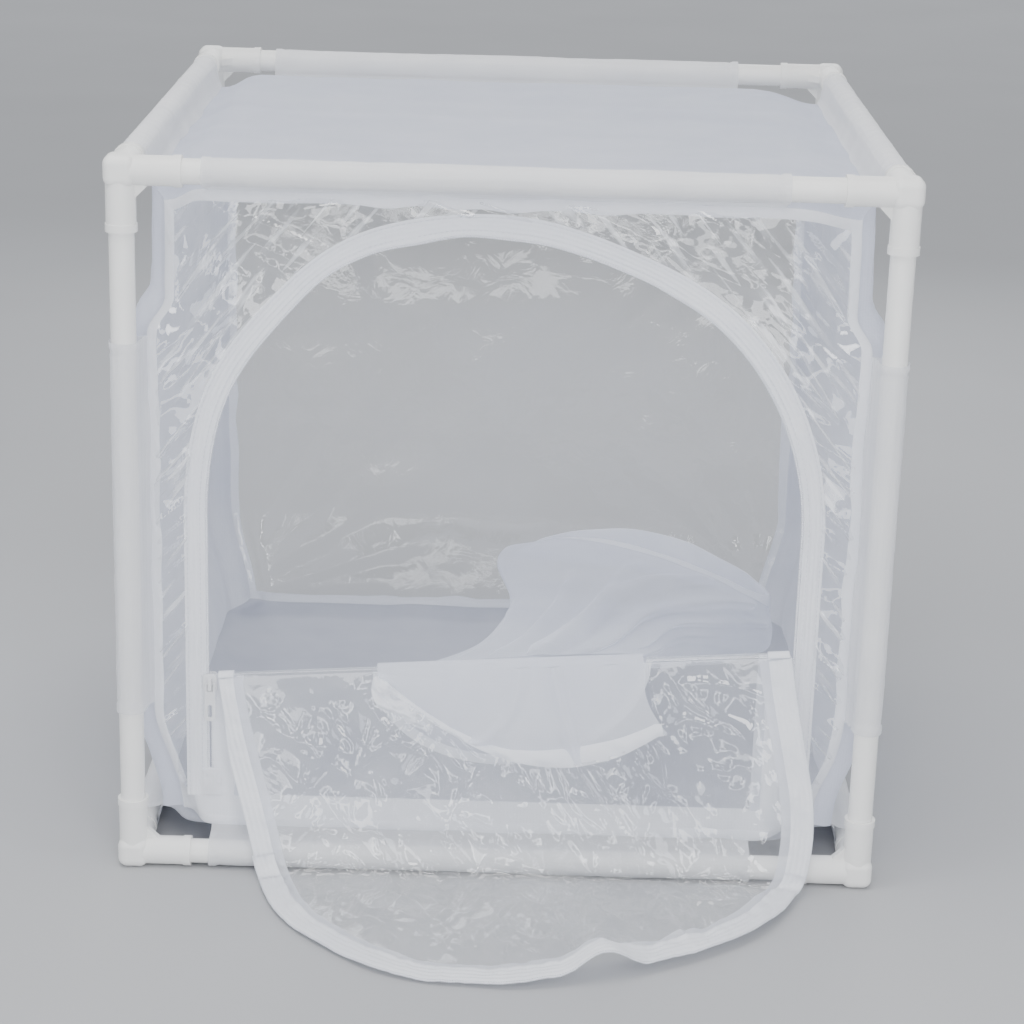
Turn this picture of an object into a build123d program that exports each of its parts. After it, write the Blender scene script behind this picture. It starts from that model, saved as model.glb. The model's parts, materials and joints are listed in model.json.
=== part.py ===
from build123d import *
import math
import os

# Enclosure tent: a box of clear film and mesh hung on a plastic-pipe frame by fabric tunnels.
# Millimetres. X runs left to right, the door faces -Y, +Z is up.
# The origin is the middle of the frame's footprint, on the surface it stands on.

# Driving dimensions: pipe frame
SPAN_X = 480.0  # pipe axis to pipe axis, width
SPAN_Y = 456.0  # depth
SPAN_Z = 456.0  # height
PIPE_R = 8.0
PIPE_WALL = 2.0
COLLAR_R = 10.0  # raised mouth of each socket
ARM_R = 9.4
ARM_REACH = 38.0  # corner centre to socket mouth
COLLAR_LENGTH = 5.0
SOCKET_DEPTH = 25.0
SOCKET_R = 8.05
HUB_SIDE = 20.0
HUB_FILLET = 6.0
WEB_LEG = 26.0
WEB_THICK = 5.0

# Tent
CLOTH = 1.0
TENT_X = 226.0  # inside face of the side panels
TENT_LOW = 24.0  # top face of the floor panel
TENT_HIGH = 451.0
DOOR_Y = -213.0  # middle plane of the front film and the closed door
BACK_Y = 214.5
SEAM_GAP = 0.3
CORNER_PULL = 10.0  # how far each tent corner is drawn in from its edges
TUNNEL_GAP = 0.4
TUNNEL_WALL = 0.8
TUNNEL_FIN = 8.0
SEAM_WIDTH = 7.0
TUNNELS_X = (-190.0, 170.0)
TUNNELS_Y = (-185.0, 185.0)
TUNNELS_Z = (110.0, 360.0)

# Arched door
ARCH_Z = 237.0  # centre of the arch; the legs run straight down from here
CHAIN_R = 190.0  # the zip's chain line
CHAIN_GAP = 0.8
COIL_WIDTH = 1.4
COIL_THICK = 2.4
TAPE_OUTER_R = 205.0
TAPE_INNER_R = 174.0
TAPE_THICK = 1.2
SILL_LOW = 44.0
PATCH_WIDTH = 13.0
PATCH_HEIGHT = 20.0
PATCH_THICK = 0.8
PATCH_CORNER = 2.0
PART_GAP = 0.2

# Fold of the door: the film above it hangs outside, then lies on the floor
FOLD_Z = 143.0
FOLD_TILT = 4.0
FOLD_OFFSET = 3.0  # the fold's axis stands in front of the door plane
FOLD_GAP = 1.0
HANG_ANGLE = 11.0
FLOOR_SHEET_Z = 2.2
NOTCH_X = -184.5  # the flap's left edge clears the zip pull below NOTCH_Z
NOTCH_Z = 190.0

# Hand access
RING_X = 9.0
RING_Z = 138.0
RING_OUTER_R = 90.0
RING_INNER_R = 83.0
RING_THICK = 1.8
SLEEVE_WALL = 1.2
SLEEVE_START_Y = -205.0
SLEEVE_END_Y = 100.0
HEM_LENGTH = 8.0
START_CENTRE = (15.0, 168.0)  # the sleeve's mouths are ovals, given by x and z
START_RADII = (70.0, 22.0)
END_CENTRE = (102.0, 84.0)
END_RADII = (100.0, 50.0)

# Zip slider and pull
SLIDER_Z = 125.0
SLIDER_WIDTH = 9.0
SLIDER_HEIGHT = 13.0
SLIDER_CORNER = 2.5
PLATE_THICK = 1.2
CHANNEL = 3.0  # clear space between the slider's plates
BAIL_WIDTH = 2.4
BAIL_DEPTH = 3.2
BAIL_HEIGHT = 8.0
BAIL_POST = 1.5
BRIDGE_WIDTH = 0.8
BRIDGE_HEIGHT = 4.0
PIN_R = 0.65
PIN_Y = -216.7
PULL_THICK = 1.3
PULL_WIDTH = 7.4
PULL_LENGTH = 26.0
PULL_CORNER = 2.0
ARM_WIDTH = 6.6
SHOULDER = 2.0  # below the window, where the pull starts to widen
WINDOW_WIDTH = 4.0
WINDOW_HEIGHT = 5.0
GRIP_WIDTH = 3.0
GRIP_LENGTH = 9.0
GRIP_RISE = 7.0  # the grip slot's middle above the pull's end

CUT_SPARE = 1.0  # how far a cutting shape passes the face that it cuts
REACH = 400.0  # longer than anything that a cutting shape has to cross
HALF_X = SPAN_X / 2
HALF_Y = SPAN_Y / 2
RAIL_LOW = COLLAR_R
RAIL_HIGH = COLLAR_R + SPAN_Z
SIDES = {"left": -1, "right": 1}
ENDS = {"front": -1, "back": 1}
LEVELS = {"bottom": -1, "top": 1}

os.makedirs("parts", exist_ok=True)


def save(piece, name):
    piece.label = name
    export_step(piece, f"parts/{name}.step")


# ---------------------------------------------------------------- pipe frame


def corner_fitting(centre, directions):
    """Three-way corner: a rounded hub, three sockets with raised mouths, and a web between each two."""
    with BuildPart() as fitting:
        with Locations(centre):
            Box(HUB_SIDE, HUB_SIDE, HUB_SIDE)
        fillet(fitting.edges(), HUB_FILLET)
        for direction in directions:
            arm = Plane(origin=centre, z_dir=direction)
            with BuildSketch(arm):
                Circle(ARM_R)
            extrude(amount=ARM_REACH)
            with BuildSketch(arm.offset(ARM_REACH - COLLAR_LENGTH)):
                Circle(COLLAR_R)
            extrude(amount=COLLAR_LENGTH)
        for first, second in ((0, 1), (1, 2), (2, 0)):
            along, across = Vector(directions[first]), Vector(directions[second])
            with BuildSketch(Plane(origin=centre, x_dir=along, z_dir=along.cross(across))):
                Polygon((0, 0), (WEB_LEG, 0), (0, WEB_LEG), align=None)
            extrude(amount=WEB_THICK / 2, both=True)
        for direction in directions:
            arm = Plane(origin=centre, z_dir=direction)
            with BuildSketch(arm.offset(ARM_REACH - SOCKET_DEPTH)):
                Circle(SOCKET_R)
            extrude(amount=SOCKET_DEPTH, mode=Mode.SUBTRACT)
    return fitting.part


def pipe(middle, direction, span):
    """A straight pipe between two fittings, pushed to the bottom of both sockets."""
    length = span - 2 * (ARM_REACH - SOCKET_DEPTH)
    with BuildPart() as tube:
        with BuildSketch(Plane(origin=middle, z_dir=direction)):
            Circle(PIPE_R)
            Circle(PIPE_R - PIPE_WALL, mode=Mode.SUBTRACT)
        extrude(amount=length / 2, both=True)
    return tube.part


def tunnel(start, direction, length, inward):
    """A fabric tunnel round a pipe, with the doubled cloth that joins it to the tent's edge."""
    inner = PIPE_R + TUNNEL_GAP
    outer = inner + TUNNEL_WALL
    with BuildPart() as sleeve:
        with BuildSketch(Plane(origin=start, x_dir=inward, z_dir=direction)):
            Circle(outer)
            with Locations((outer + TUNNEL_FIN / 2 - TUNNEL_WALL / 2, 0)):
                Rectangle(TUNNEL_FIN, TUNNEL_WALL)
            Circle(inner, mode=Mode.SUBTRACT)
        extrude(amount=length)
    return sleeve.part


for level, up in LEVELS.items():
    rail_z = RAIL_HIGH if up > 0 else RAIL_LOW
    for end, back in ENDS.items():
        for side, right in SIDES.items():
            corner = (right * HALF_X, back * HALF_Y, rail_z)
            arms = [(-right, 0, 0), (0, -back, 0), (0, 0, -up)]
            save(corner_fitting(corner, arms), f"fitting_{level}_{end}_{side}")
        save(pipe((0, back * HALF_Y, rail_z), (1, 0, 0), SPAN_X), f"width_rail_{level}_{end}")
        width_start = (TUNNELS_X[0], back * HALF_Y, rail_z)
        width_length = TUNNELS_X[1] - TUNNELS_X[0]
        width_tunnel = tunnel(width_start, (1, 0, 0), width_length, (0, -back, -up))
        save(width_tunnel, f"tunnel_width_{level}_{end}")
    for side, right in SIDES.items():
        save(pipe((right * HALF_X, 0, rail_z), (0, 1, 0), SPAN_Y), f"depth_rail_{level}_{side}")
        depth_start = (right * HALF_X, TUNNELS_Y[0], rail_z)
        depth_length = TUNNELS_Y[1] - TUNNELS_Y[0]
        depth_tunnel = tunnel(depth_start, (0, 1, 0), depth_length, (-right, 0, -up))
        save(depth_tunnel, f"tunnel_depth_{level}_{side}")

for end, back in ENDS.items():
    for side, right in SIDES.items():
        post_middle = (right * HALF_X, back * HALF_Y, (RAIL_LOW + RAIL_HIGH) / 2)
        save(pipe(post_middle, (0, 0, 1), SPAN_Z), f"post_{end}_{side}")
        post_start = (right * HALF_X, back * HALF_Y, TUNNELS_Z[0])
        post_length = TUNNELS_Z[1] - TUNNELS_Z[0]
        post_tunnel = tunnel(post_start, (0, 0, 1), post_length, (-right, -back, 0))
        save(post_tunnel, f"tunnel_post_{end}_{side}")

# ---------------------------------------------------------------- tent panels


def panel_outline(low_u, high_u, low_v, high_v, held_u, held_v):
    """Points of a panel held along the middle of each edge and drawn in at its four corners."""
    pull = CORNER_PULL
    return [
        (held_u[0], high_v),
        (held_u[1], high_v),
        (high_u - pull, high_v - pull),
        (high_u, held_v[1]),
        (high_u, held_v[0]),
        (high_u - pull, low_v + pull),
        (held_u[1], low_v),
        (held_u[0], low_v),
        (low_u + pull, low_v + pull),
        (low_u, held_v[0]),
        (low_u, held_v[1]),
        (low_u + pull, high_v - pull),
    ]


PANEL_X = TENT_X - SEAM_GAP
PANEL_Y = -DOOR_Y
PANEL_LOW = TENT_LOW + SEAM_GAP
PANEL_HIGH = TENT_HIGH - SEAM_GAP
FACE_OUTLINE = panel_outline(-PANEL_X, PANEL_X, PANEL_LOW, PANEL_HIGH, TUNNELS_X, TUNNELS_Z)
SIDE_OUTLINE = panel_outline(-PANEL_Y, PANEL_Y, PANEL_LOW, PANEL_HIGH, TUNNELS_Y, TUNNELS_Z)
FLAT_OUTLINE = panel_outline(-PANEL_X, PANEL_X, -PANEL_Y, PANEL_Y, TUNNELS_X, TUNNELS_Y)

with BuildPart() as top_panel:
    with BuildSketch(Plane.XY.offset(TENT_HIGH)):
        Polygon(*FLAT_OUTLINE, align=None)
    extrude(amount=CLOTH)
save(top_panel.part, "top_panel")

with BuildPart() as floor_panel:
    with BuildSketch(Plane.XY.offset(TENT_LOW - CLOTH)):
        Polygon(*FLAT_OUTLINE, align=None)
    extrude(amount=CLOTH)
save(floor_panel.part, "floor_panel")

for side, right in SIDES.items():
    with BuildPart() as side_panel:
        with BuildSketch(Plane.YZ.offset(right * (TENT_X + CLOTH / 2))):
            Polygon(*SIDE_OUTLINE, align=None)
        extrude(amount=CLOTH / 2, both=True)
    save(side_panel.part, f"side_panel_{side}")

with BuildPart() as back_film:
    with BuildSketch(Plane.XZ.offset(-BACK_Y)):
        Polygon(*FACE_OUTLINE, align=None)
        offset(amount=-SEAM_WIDTH - PART_GAP, kind=Kind.INTERSECTION, mode=Mode.REPLACE)
    extrude(amount=CLOTH / 2, both=True)
save(back_film.part, "back_film")

with BuildPart() as back_seam:
    with BuildSketch(Plane.XZ.offset(-BACK_Y)):
        Polygon(*FACE_OUTLINE, align=None)
        offset(amount=-SEAM_WIDTH, kind=Kind.INTERSECTION, mode=Mode.SUBTRACT)
    extrude(amount=TAPE_THICK / 2, both=True)
save(back_seam.part, "back_seam")

# ---------------------------------------------------------------- arched door, frame side

DOOR = Plane.XZ.offset(-DOOR_Y)
FRAME_COIL_R = CHAIN_R + CHAIN_GAP
FRAME_TAPE_R = FRAME_COIL_R + COIL_WIDTH + PART_GAP
FLAP_COIL_R = CHAIN_R - CHAIN_GAP
FLAP_TAPE_R = FLAP_COIL_R - COIL_WIDTH - PART_GAP
FILM_R = TAPE_INNER_R - PART_GAP
SILL_START = SILL_LOW + PART_GAP


def arch(radius, low_z, mode=Mode.ADD):
    """Door shape in the door plane: a half circle on straight legs that end at low_z."""
    with BuildLine() as outline:
        Line((-radius, low_z), (-radius, ARCH_Z))
        ThreePointArc((-radius, ARCH_Z), (0, ARCH_Z + radius), (radius, ARCH_Z))
        Polyline((radius, ARCH_Z), (radius, low_z), (-radius, low_z))
    make_face(outline.edges(), mode=mode)


with BuildPart() as front_film:
    with BuildSketch(DOOR):
        Polygon(*FACE_OUTLINE, align=None)
        offset(amount=-SEAM_WIDTH - PART_GAP, kind=Kind.INTERSECTION, mode=Mode.REPLACE)
        arch(TAPE_OUTER_R + PART_GAP, 0, mode=Mode.SUBTRACT)
    extrude(amount=CLOTH / 2, both=True)
save(front_film.part, "front_film")

with BuildPart() as front_seam:
    with BuildSketch(DOOR):
        Polygon(*FACE_OUTLINE, align=None)
        offset(amount=-SEAM_WIDTH, kind=Kind.INTERSECTION, mode=Mode.SUBTRACT)
        with Locations((0, SILL_START / 2)):
            Rectangle(2 * TAPE_OUTER_R, SILL_START, mode=Mode.SUBTRACT)
    extrude(amount=TAPE_THICK / 2, both=True)
save(front_seam.part, "front_seam")

with BuildPart() as sill_band:
    with BuildSketch(DOOR):
        Polygon(*FACE_OUTLINE, align=None)
        with Locations((0, SILL_LOW / 2)):
            Rectangle(2 * (TAPE_OUTER_R - PART_GAP), SILL_LOW, mode=Mode.INTERSECT)
    extrude(amount=TAPE_THICK / 2, both=True)
save(sill_band.part, "sill_band")

with BuildPart() as zip_tape_frame:
    with BuildSketch(DOOR):
        arch(TAPE_OUTER_R, SILL_START)
        arch(FRAME_TAPE_R, SILL_START - CUT_SPARE, mode=Mode.SUBTRACT)
    extrude(amount=TAPE_THICK / 2, both=True)
save(zip_tape_frame.part, "zip_tape_frame")

with BuildPart() as zip_coil_frame:
    with BuildSketch(DOOR):
        arch(FRAME_COIL_R + COIL_WIDTH, SILL_START)
        arch(FRAME_COIL_R, SILL_START - CUT_SPARE, mode=Mode.SUBTRACT)
    extrude(amount=COIL_THICK / 2, both=True)
save(zip_coil_frame.part, "zip_coil_frame")

PATCH_Y = DOOR_Y - COIL_THICK / 2 - PART_GAP

with BuildPart() as zip_end_patches:
    with BuildSketch(Plane.XZ.offset(-PATCH_Y)):
        for right in SIDES.values():
            with Locations((right * CHAIN_R, SILL_START + PATCH_HEIGHT / 2)):
                RectangleRounded(PATCH_WIDTH, PATCH_HEIGHT, PATCH_CORNER)
    extrude(amount=PATCH_THICK)
save(zip_end_patches.part, "zip_end_patches")

# ---------------------------------------------------------------- door flap: its two folds

FOLD_DIR = Vector(math.cos(math.radians(FOLD_TILT)), 0, math.sin(math.radians(FOLD_TILT)))
FOLD_AXIS = Axis((0, DOOR_Y - FOLD_OFFSET, FOLD_Z), FOLD_DIR)
FOLD_ANGLE = 180 - HANG_ANGLE
FOLD_SPIN = Axis((0, 0, 0), FOLD_DIR)
HUNG_X = Vector(1, 0, 0).rotate(FOLD_SPIN, FOLD_ANGLE)
HUNG_Z = Vector(0, 0, 1).rotate(FOLD_SPIN, FOLD_ANGLE)
# The fold's axis to the middle plane of the hung film, seen where the door's centre line crosses it
HUNG_START = Vector(0, FOLD_OFFSET, 0).rotate(FOLD_SPIN, FOLD_ANGLE) + Vector(0, DOOR_Y - FOLD_OFFSET, FOLD_Z)
# On the closed door, the height at which the hung film meets the floor, at x = 0, and its slope in x
BEND_Z = FOLD_Z + (FLOOR_SHEET_Z - HUNG_START.Z) / HUNG_Z.Z
BEND_SLOPE = -HUNG_X.Z / HUNG_Z.Z
BEND_ANGLE = 90 - HANG_ANGLE
BEND_AXIS = Axis((0, DOOR_Y, BEND_Z), (1, 0, BEND_SLOPE))
FOLD_SLOPE = math.tan(math.radians(FOLD_TILT))


def side_of_line(height, slope, gap, above, mode):
    """Everything above (or below) a sloping line across the closed door, for cutting."""
    far = REACH if above else -REACH
    gap = gap if above else -gap
    left = (-REACH, height + gap - slope * REACH)
    right = (REACH, height + gap + slope * REACH)
    Polygon(left, right, (REACH, height + far), (-REACH, height + far), align=None, mode=mode)


def cut_below_fold():
    side_of_line(FOLD_Z, FOLD_SLOPE, -FOLD_GAP, False, Mode.SUBTRACT)


def cut_above_fold():
    side_of_line(FOLD_Z, FOLD_SLOPE, -FOLD_GAP, True, Mode.SUBTRACT)


def cut_below_bend():
    side_of_line(BEND_Z, BEND_SLOPE, -FOLD_GAP, False, Mode.SUBTRACT)


def cut_above_bend():
    side_of_line(BEND_Z, BEND_SLOPE, -FOLD_GAP, True, Mode.SUBTRACT)


def sleeve_hole(radius, mode):
    with Locations((RING_X, RING_Z)):
        Circle(radius, mode=mode)


def pull_notch():
    """The flap's left edge is drawn in where it hangs beside the zip pull."""
    with Locations((NOTCH_X - REACH / 2, NOTCH_Z - REACH / 2)):
        Rectangle(REACH, REACH, mode=Mode.SUBTRACT)


def hung(piece):
    return piece.rotate(FOLD_AXIS, FOLD_ANGLE)


def laid(piece):
    return hung(piece.rotate(BEND_AXIS, -BEND_ANGLE))


# ---------------------------------------------------------------- door sill, below the fold

with BuildPart() as sill_film:
    with BuildSketch(DOOR):
        arch(FILM_R, SILL_START)
        cut_above_fold()
        sleeve_hole(RING_OUTER_R + PART_GAP, Mode.SUBTRACT)
    extrude(amount=CLOTH / 2, both=True)
save(sill_film.part, "sill_film")

with BuildPart() as sill_tapes:
    with BuildSketch(DOOR):
        arch(FLAP_TAPE_R, SILL_START)
        arch(TAPE_INNER_R, SILL_START - CUT_SPARE, mode=Mode.SUBTRACT)
        cut_above_fold()
    extrude(amount=TAPE_THICK / 2, both=True)
save(sill_tapes.part, "sill_tapes")

with BuildPart() as sill_coils:
    with BuildSketch(DOOR):
        arch(FLAP_COIL_R, SILL_START)
        arch(FLAP_COIL_R - COIL_WIDTH, SILL_START - CUT_SPARE, mode=Mode.SUBTRACT)
        cut_above_fold()
    extrude(amount=COIL_THICK / 2, both=True)
save(sill_coils.part, "sill_coils")

with BuildPart() as sleeve_ring_sill:
    with BuildSketch(DOOR):
        sleeve_hole(RING_OUTER_R, Mode.ADD)
        sleeve_hole(RING_INNER_R, Mode.SUBTRACT)
        cut_above_fold()
    extrude(amount=RING_THICK / 2, both=True)
save(sleeve_ring_sill.part, "sleeve_ring_sill")

# ---------------------------------------------------------------- door flap, near part (hangs)

with BuildPart() as closed_film_near:
    with BuildSketch(DOOR):
        arch(FILM_R, SILL_START)
        cut_below_fold()
        cut_above_bend()
        sleeve_hole(RING_OUTER_R + PART_GAP, Mode.SUBTRACT)
    extrude(amount=CLOTH / 2, both=True)
with BuildPart() as flap_film_near:
    add(hung(closed_film_near.part))
save(flap_film_near.part, "flap_film_near")

with BuildPart() as closed_tapes_near:
    with BuildSketch(DOOR):
        arch(FLAP_TAPE_R, SILL_START)
        arch(TAPE_INNER_R, SILL_START - CUT_SPARE, mode=Mode.SUBTRACT)
        cut_below_fold()
        cut_above_bend()
        pull_notch()
    extrude(amount=TAPE_THICK / 2, both=True)
with BuildPart() as flap_tapes_near:
    add(hung(closed_tapes_near.part))
save(flap_tapes_near.part, "flap_tapes_near")

with BuildPart() as closed_coils_near:
    with BuildSketch(DOOR):
        arch(FLAP_COIL_R, SILL_START)
        arch(FLAP_COIL_R - COIL_WIDTH, SILL_START - CUT_SPARE, mode=Mode.SUBTRACT)
        cut_below_fold()
        cut_above_bend()
        pull_notch()
    extrude(amount=COIL_THICK / 2, both=True)
with BuildPart() as flap_coils_near:
    add(hung(closed_coils_near.part))
save(flap_coils_near.part, "flap_coils_near")

with BuildPart() as closed_ring:
    with BuildSketch(DOOR):
        sleeve_hole(RING_OUTER_R, Mode.ADD)
        sleeve_hole(RING_INNER_R, Mode.SUBTRACT)
        cut_below_fold()
    extrude(amount=RING_THICK / 2, both=True)
with BuildPart() as sleeve_ring_flap:
    add(hung(closed_ring.part))
save(sleeve_ring_flap.part, "sleeve_ring_flap")

# ---------------------------------------------------------------- door flap, far part (lies on the floor)

with BuildPart() as closed_film_far:
    with BuildSketch(DOOR):
        arch(FILM_R, SILL_START)
        cut_below_bend()
    extrude(amount=CLOTH / 2, both=True)
with BuildPart() as flap_film_far:
    add(laid(closed_film_far.part))
save(flap_film_far.part, "flap_film_far")

with BuildPart() as closed_tape_far:
    with BuildSketch(DOOR):
        arch(FLAP_TAPE_R, SILL_START)
        arch(TAPE_INNER_R, SILL_START - CUT_SPARE, mode=Mode.SUBTRACT)
        cut_below_bend()
    extrude(amount=TAPE_THICK / 2, both=True)
with BuildPart() as flap_tape_far:
    add(laid(closed_tape_far.part))
save(flap_tape_far.part, "flap_tape_far")

with BuildPart() as closed_coil_far:
    with BuildSketch(DOOR):
        arch(FLAP_COIL_R, SILL_START)
        arch(FLAP_COIL_R - COIL_WIDTH, SILL_START - CUT_SPARE, mode=Mode.SUBTRACT)
        cut_below_bend()
    extrude(amount=COIL_THICK / 2, both=True)
with BuildPart() as flap_coil_far:
    add(laid(closed_coil_far.part))
save(flap_coil_far.part, "flap_coil_far")

# ---------------------------------------------------------------- mesh access sleeve

START_PLANE = Plane.XZ.offset(-SLEEVE_START_Y)
END_PLANE = Plane.XZ.offset(-SLEEVE_END_Y)

with BuildPart() as access_sleeve:
    with BuildSketch(START_PLANE):
        with Locations(START_CENTRE):
            Ellipse(*START_RADII)
    with BuildSketch(END_PLANE):
        with Locations(END_CENTRE):
            Ellipse(*END_RADII)
    loft()
    with BuildSketch(START_PLANE):
        with Locations(START_CENTRE):
            Ellipse(START_RADII[0] - SLEEVE_WALL, START_RADII[1] - SLEEVE_WALL)
    with BuildSketch(END_PLANE):
        with Locations(END_CENTRE):
            Ellipse(END_RADII[0] - SLEEVE_WALL, END_RADII[1] - SLEEVE_WALL)
    loft(mode=Mode.SUBTRACT)
save(access_sleeve.part, "access_sleeve")

with BuildPart() as sleeve_hem:
    with BuildSketch(END_PLANE.offset(-PART_GAP)):
        with Locations(END_CENTRE):
            Ellipse(END_RADII[0] + PART_GAP, END_RADII[1] + PART_GAP)
            Ellipse(END_RADII[0] - 2 * SLEEVE_WALL, END_RADII[1] - 2 * SLEEVE_WALL, mode=Mode.SUBTRACT)
    extrude(amount=-HEM_LENGTH)
save(sleeve_hem.part, "sleeve_hem")

# ---------------------------------------------------------------- zip slider and pull

PLATE_FRONT_Y = DOOR_Y - CHANNEL / 2
PLATE_BACK_Y = DOOR_Y + CHANNEL / 2
BAIL_Y = PLATE_FRONT_Y - PLATE_THICK

with BuildPart() as zip_slider:
    with BuildSketch(Plane.XZ.offset(-PLATE_FRONT_Y)):
        with Locations((-CHAIN_R, SLIDER_Z)):
            RectangleRounded(SLIDER_WIDTH, SLIDER_HEIGHT, SLIDER_CORNER)
    extrude(amount=PLATE_THICK)
    with BuildSketch(Plane.XZ.offset(-PLATE_BACK_Y)):
        with Locations((-CHAIN_R, SLIDER_Z)):
            RectangleRounded(SLIDER_WIDTH, SLIDER_HEIGHT, SLIDER_CORNER)
    extrude(amount=-PLATE_THICK)
    with Locations((-CHAIN_R, DOOR_Y, SLIDER_Z + SLIDER_HEIGHT / 2 - BRIDGE_HEIGHT / 2)):
        Box(BRIDGE_WIDTH, CHANNEL, BRIDGE_HEIGHT)
    with BuildSketch(Plane.YZ.offset(-CHAIN_R)):
        with Locations((BAIL_Y - BAIL_DEPTH / 2, SLIDER_Z)):
            Rectangle(BAIL_DEPTH, BAIL_HEIGHT)
        with Locations((BAIL_Y - (BAIL_DEPTH - PLATE_THICK) / 2, SLIDER_Z)):
            Rectangle(BAIL_DEPTH - PLATE_THICK, BAIL_HEIGHT - 2 * BAIL_POST, mode=Mode.SUBTRACT)
    extrude(amount=BAIL_WIDTH / 2, both=True)
save(zip_slider.part, "zip_slider")

with BuildPart() as zip_pull:
    with BuildSketch(Plane.XZ.offset(-PIN_Y)):
        with BuildLine():
            Polyline(
                (-CHAIN_R - ARM_WIDTH / 2, SLIDER_Z + PIN_R),
                (-CHAIN_R + ARM_WIDTH / 2, SLIDER_Z + PIN_R),
                (-CHAIN_R + ARM_WIDTH / 2, SLIDER_Z - WINDOW_HEIGHT - SHOULDER),
                (-CHAIN_R + PULL_WIDTH / 2, SLIDER_Z - PULL_LENGTH + PULL_CORNER),
                (-CHAIN_R + PULL_WIDTH / 2 - PULL_CORNER, SLIDER_Z - PULL_LENGTH),
                (-CHAIN_R - PULL_WIDTH / 2 + PULL_CORNER, SLIDER_Z - PULL_LENGTH),
                (-CHAIN_R - PULL_WIDTH / 2, SLIDER_Z - PULL_LENGTH + PULL_CORNER),
                (-CHAIN_R - ARM_WIDTH / 2, SLIDER_Z - WINDOW_HEIGHT - SHOULDER),
                close=True,
            )
        make_face()
        with Locations((-CHAIN_R, SLIDER_Z - (WINDOW_HEIGHT - PIN_R) / 2)):
            Rectangle(WINDOW_WIDTH, WINDOW_HEIGHT + PIN_R, mode=Mode.SUBTRACT)
        with Locations((-CHAIN_R, SLIDER_Z - PULL_LENGTH + GRIP_RISE)):
            SlotOverall(GRIP_LENGTH, GRIP_WIDTH, rotation=90, mode=Mode.SUBTRACT)
    extrude(amount=PULL_THICK / 2, both=True)
    with BuildSketch(Plane.YZ.offset(-CHAIN_R)):
        with Locations((PIN_Y, SLIDER_Z)):
            Circle(PIN_R)
    extrude(amount=ARM_WIDTH / 2, both=True)
save(zip_pull.part, "zip_pull")
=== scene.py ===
import json
import math

import bpy
import numpy as np
from mathutils import Matrix, Vector


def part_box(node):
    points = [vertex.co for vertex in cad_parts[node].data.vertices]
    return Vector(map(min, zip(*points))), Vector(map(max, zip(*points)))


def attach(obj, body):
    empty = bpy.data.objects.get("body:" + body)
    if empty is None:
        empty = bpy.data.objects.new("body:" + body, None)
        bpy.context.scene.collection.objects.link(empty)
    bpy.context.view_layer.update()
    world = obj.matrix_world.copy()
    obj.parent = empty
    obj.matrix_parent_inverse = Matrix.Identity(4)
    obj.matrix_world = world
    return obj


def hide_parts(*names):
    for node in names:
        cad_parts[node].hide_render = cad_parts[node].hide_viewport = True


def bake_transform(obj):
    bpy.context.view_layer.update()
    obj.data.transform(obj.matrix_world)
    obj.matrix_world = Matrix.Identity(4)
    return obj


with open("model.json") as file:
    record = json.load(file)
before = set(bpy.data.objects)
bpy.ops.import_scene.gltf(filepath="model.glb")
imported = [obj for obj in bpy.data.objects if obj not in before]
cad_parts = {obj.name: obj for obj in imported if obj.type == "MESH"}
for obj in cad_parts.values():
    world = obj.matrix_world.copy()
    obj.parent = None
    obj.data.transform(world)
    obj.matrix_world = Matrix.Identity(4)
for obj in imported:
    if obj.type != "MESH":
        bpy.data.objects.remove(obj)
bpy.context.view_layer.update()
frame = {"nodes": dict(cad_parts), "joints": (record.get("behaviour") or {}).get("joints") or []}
scene = bpy.context.scene
nodes = frame["nodes"]
joints = {joint["name"]: joint for joint in frame["joints"]}

# ---- camera, lights, surroundings

CAMERA_PLACE = (0.0095, -1.7685, 0.7662)
CAMERA_DOWN = math.radians(18.4)
CAMERA_YAW = math.radians(0.18)
CAMERA_ROLL = math.radians(1.65)
LENS_MM = 89.9

camera_data = bpy.data.cameras.new("camera")
camera_data.lens = LENS_MM
camera = bpy.data.objects.new("camera", camera_data)
scene.collection.objects.link(camera)
turn = Matrix.Rotation(CAMERA_YAW, 4, "Z") @ Matrix.Rotation(math.pi / 2 - CAMERA_DOWN, 4, "X")
camera.matrix_world = Matrix.Translation(CAMERA_PLACE) @ turn @ Matrix.Rotation(CAMERA_ROLL, 4, "Z")
scene.camera = camera

# Name, place, the point it faces, width and height, watts, colour
LIGHTS = (
    ("key_overhead", (-0.25, -0.5, 1.7), (0, 0, 0.25), (1.3, 1.0), 20, (1.0, 0.99, 0.97)),
    ("fill_left", (-1.5, -1.2, 0.8), (0, 0, 0.25), (0.9, 1.2), 11, (0.93, 0.96, 1.0)),
    ("fill_right", (1.5, -0.9, 0.7), (0, 0, 0.25), (0.7, 1.2), 9, (0.95, 0.97, 1.0)),
    ("back_strip", (0.2, 1.4, 0.9), (0, 0, 0.3), (1.4, 0.6), 7, (0.95, 0.97, 1.0)),
    ("strip_left", (-0.62, -1.95, 0.5), (0, -0.25, 0.15), (0.25, 0.95), 5, (0.97, 0.98, 1.0)),
    ("strip_right", (0.62, -1.95, 0.5), (0, -0.25, 0.15), (0.35, 0.95), 6, (0.97, 0.98, 1.0)),
    ("low_front", (0, -1.1, 0.115), (0, 0.2, 0.3), (0.75, 0.14), 1.6, (0.98, 0.99, 1.0)),
    ("door_key", (0.1, -1.3, 0.95), (0.08, -0.05, 0.12), (0.4, 0.3), 5, (1.0, 0.99, 0.98)),
    ("far_floor", (0, 6, 5), (0, 6, 0), (12, 8), 480, (0.98, 0.99, 1.0)),
)
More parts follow.
